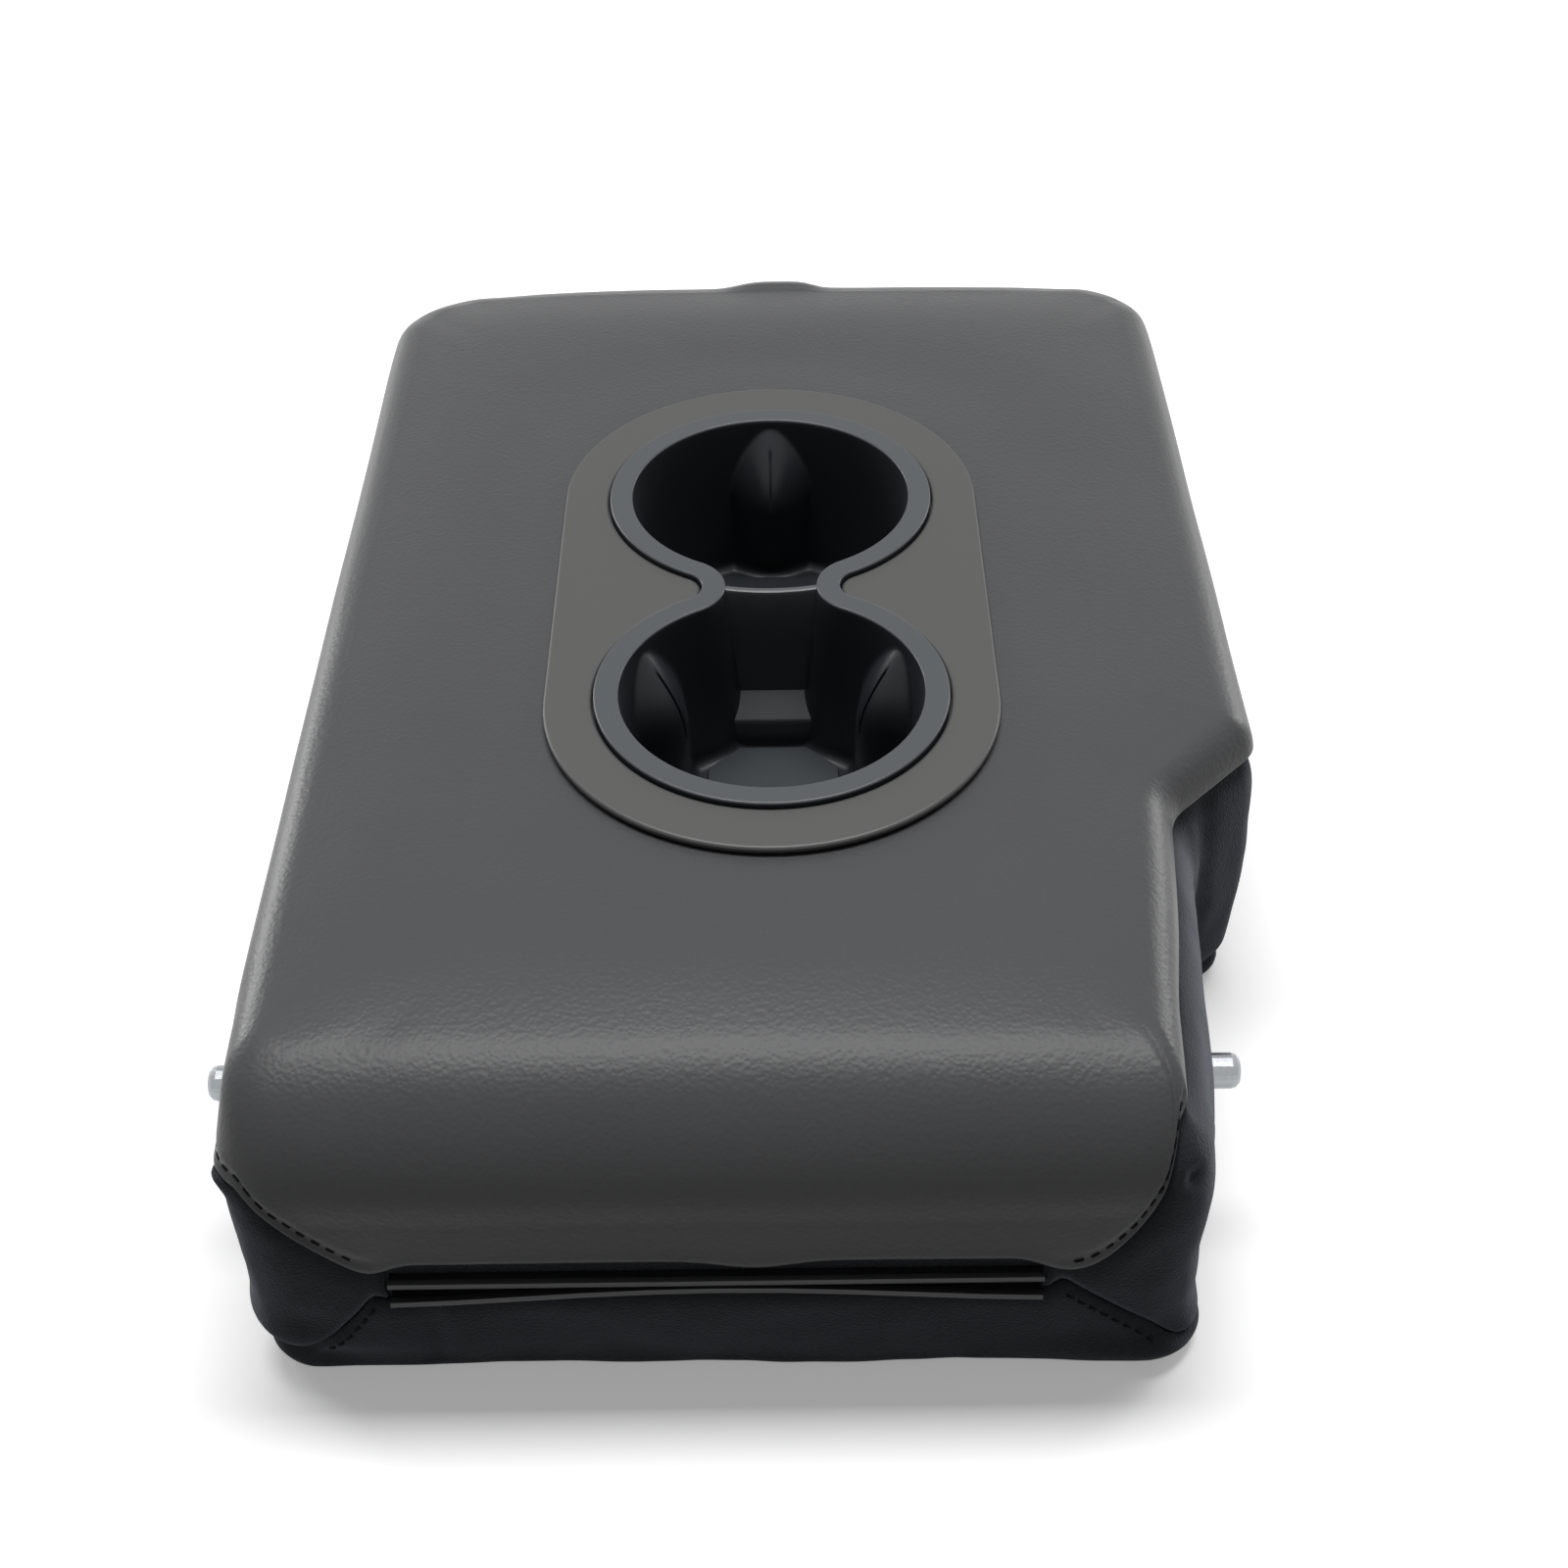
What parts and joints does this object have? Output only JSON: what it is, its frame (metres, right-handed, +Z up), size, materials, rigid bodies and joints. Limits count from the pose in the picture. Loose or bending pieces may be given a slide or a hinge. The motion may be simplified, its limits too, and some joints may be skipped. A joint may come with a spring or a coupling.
{
  "type": "rear seat armrest",
  "caption": "Fold-down padded rear seat armrest with a twin cup holder let into its top, fabric sides and a pivot rod across its hinge end.",
  "frame": {"origin": "middle of the whole armrest's box, on the resting face", "axes": "+X across the armrest towards the side with the step, +Y from the hinge end to the front edge, +Z up out of the cups, with the armrest lowered"},
  "size_m": [0.2874, 0.4256, 0.1038],
  "materials": {
    "leatherette": "fine grain, matt",
    "knit": "fine black knit",
    "foam": "moulded foam, hidden",
    "bezel_plastic": "satin",
    "liner_plastic": "soft matt",
    "black_plastic": "matt",
    "painted_steel": "black paint",
    "zinc": "bright zinc",
    "nylon": "natural"
  },
  "bodies": {
    "armrest": {"top_cover": "leatherette", "left_side_panel": "knit", "right_side_panel": "knit", "bottom_panel": "knit", "foam_upper": "foam", "foam_lower": "foam", "upper_closure_strip": "black_plastic", "lower_closure_strip": "black_plastic", "pull_strap": "leatherette", "frame_wire": "painted_steel", "left_hinge_bracket": "painted_steel", "right_hinge_bracket": "painted_steel", "rear_cross_plate": "painted_steel", "front_cross_plate": "painted_steel", "pivot_tube": "painted_steel", "left_pivot_bush": "nylon", "right_pivot_bush": "nylon", "cupholder_tub": "black_plastic", "cupholder_bezel": "bezel_plastic", "cup_insert": "liner_plastic", "tub_screw_rear_left": "zinc", "tub_screw_rear_right": "zinc", "tub_screw_front_left": "zinc", "tub_screw_front_right": "zinc"},
    "pivot_rod": {"pivot_rod": "zinc", "left_rod_clip": "zinc", "right_rod_clip": "zinc"}
  },
  "joints": [
    {"name": "armrest_swing", "type": "hinge", "parent": "armrest", "child": "pivot_rod", "pos_m": [-0.00827, -0.1497, 0.05], "axis": [1, 0, 0], "range_deg": [-105, 0]}
  ]
}
